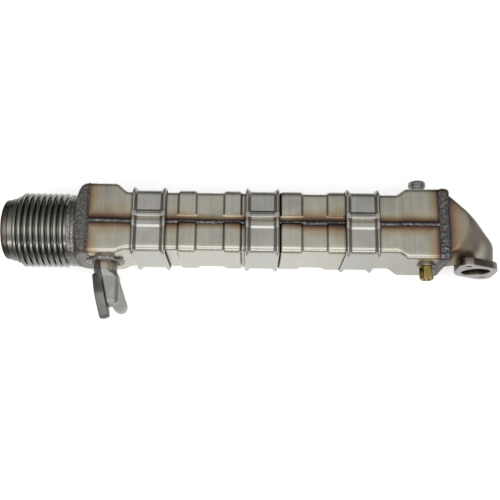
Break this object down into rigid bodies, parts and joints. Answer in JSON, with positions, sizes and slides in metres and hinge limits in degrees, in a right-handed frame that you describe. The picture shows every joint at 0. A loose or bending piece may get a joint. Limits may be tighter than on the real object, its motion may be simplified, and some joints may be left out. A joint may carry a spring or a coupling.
{
  "type": "egr cooler",
  "caption": "Welded stainless exhaust gas recirculation cooler with a bellows inlet, strapped casing, flat tube bundle, mitred outlet hood and cast coolant inlet.",
  "frame": {"origin": "middle of the cooler's underside, on the plane that its strap ridges rest on", "axes": "+X along the cooler from the bellows to the gas outlet, +Z out of the upper seam face, -Y towards the coolant inlet and the outlet flange's face"},
  "size_m": [0.7818, 0.2326, 0.1256],
  "materials": {
    "casing_steel": "satin, heat tinted at the welds",
    "strap_steel": "satin",
    "scaled_steel": "dark weld scale",
    "bellows_steel": "drawn, semi-bright",
    "tube_steel": "plain sheet",
    "machined_steel": "machined",
    "cast_steel": "matte as cast",
    "brass": "machined"
  },
  "bodies": {
    "root": {"bellows": "bellows_steel", "brass_fitting": "brass", "coolant_inlet": "cast_steel", "coolant_outlet_neck": "strap_steel", "fitting_bung": "machined_steel", "front_shell": "casing_steel", "gas_tube_1": "tube_steel", "gas_tube_2": "tube_steel", "gas_tube_3": "tube_steel", "gas_tube_4": "tube_steel", "gas_tube_5": "tube_steel", "gas_tube_6": "tube_steel", "gas_tube_7": "tube_steel", "gas_tube_8": "tube_steel", "inlet_cone": "scaled_steel", "inlet_header_plate": "tube_steel", "inlet_port_ring": "strap_steel", "mouth_ring": "machined_steel", "neck_collar": "scaled_steel", "outlet_flange": "machined_steel", "outlet_header_plate": "scaled_steel", "outlet_hood": "casing_steel", "rear_shell": "casing_steel", "strap_1_front": "strap_steel", "strap_1_rear": "strap_steel", "strap_2_front": "strap_steel", "strap_2_rear": "strap_steel", "strap_3_front": "strap_steel", "strap_3_rear": "strap_steel", "tube_baffle_1": "tube_steel", "tube_baffle_2": "tube_steel", "tube_fin_1": "tube_steel", "tube_fin_2": "tube_steel", "tube_fin_3": "tube_steel", "tube_fin_4": "tube_steel", "tube_fin_5": "tube_steel", "tube_fin_6": "tube_steel", "tube_fin_7": "tube_steel", "tube_fin_8": "tube_steel"}
  },
  "joints": []
}
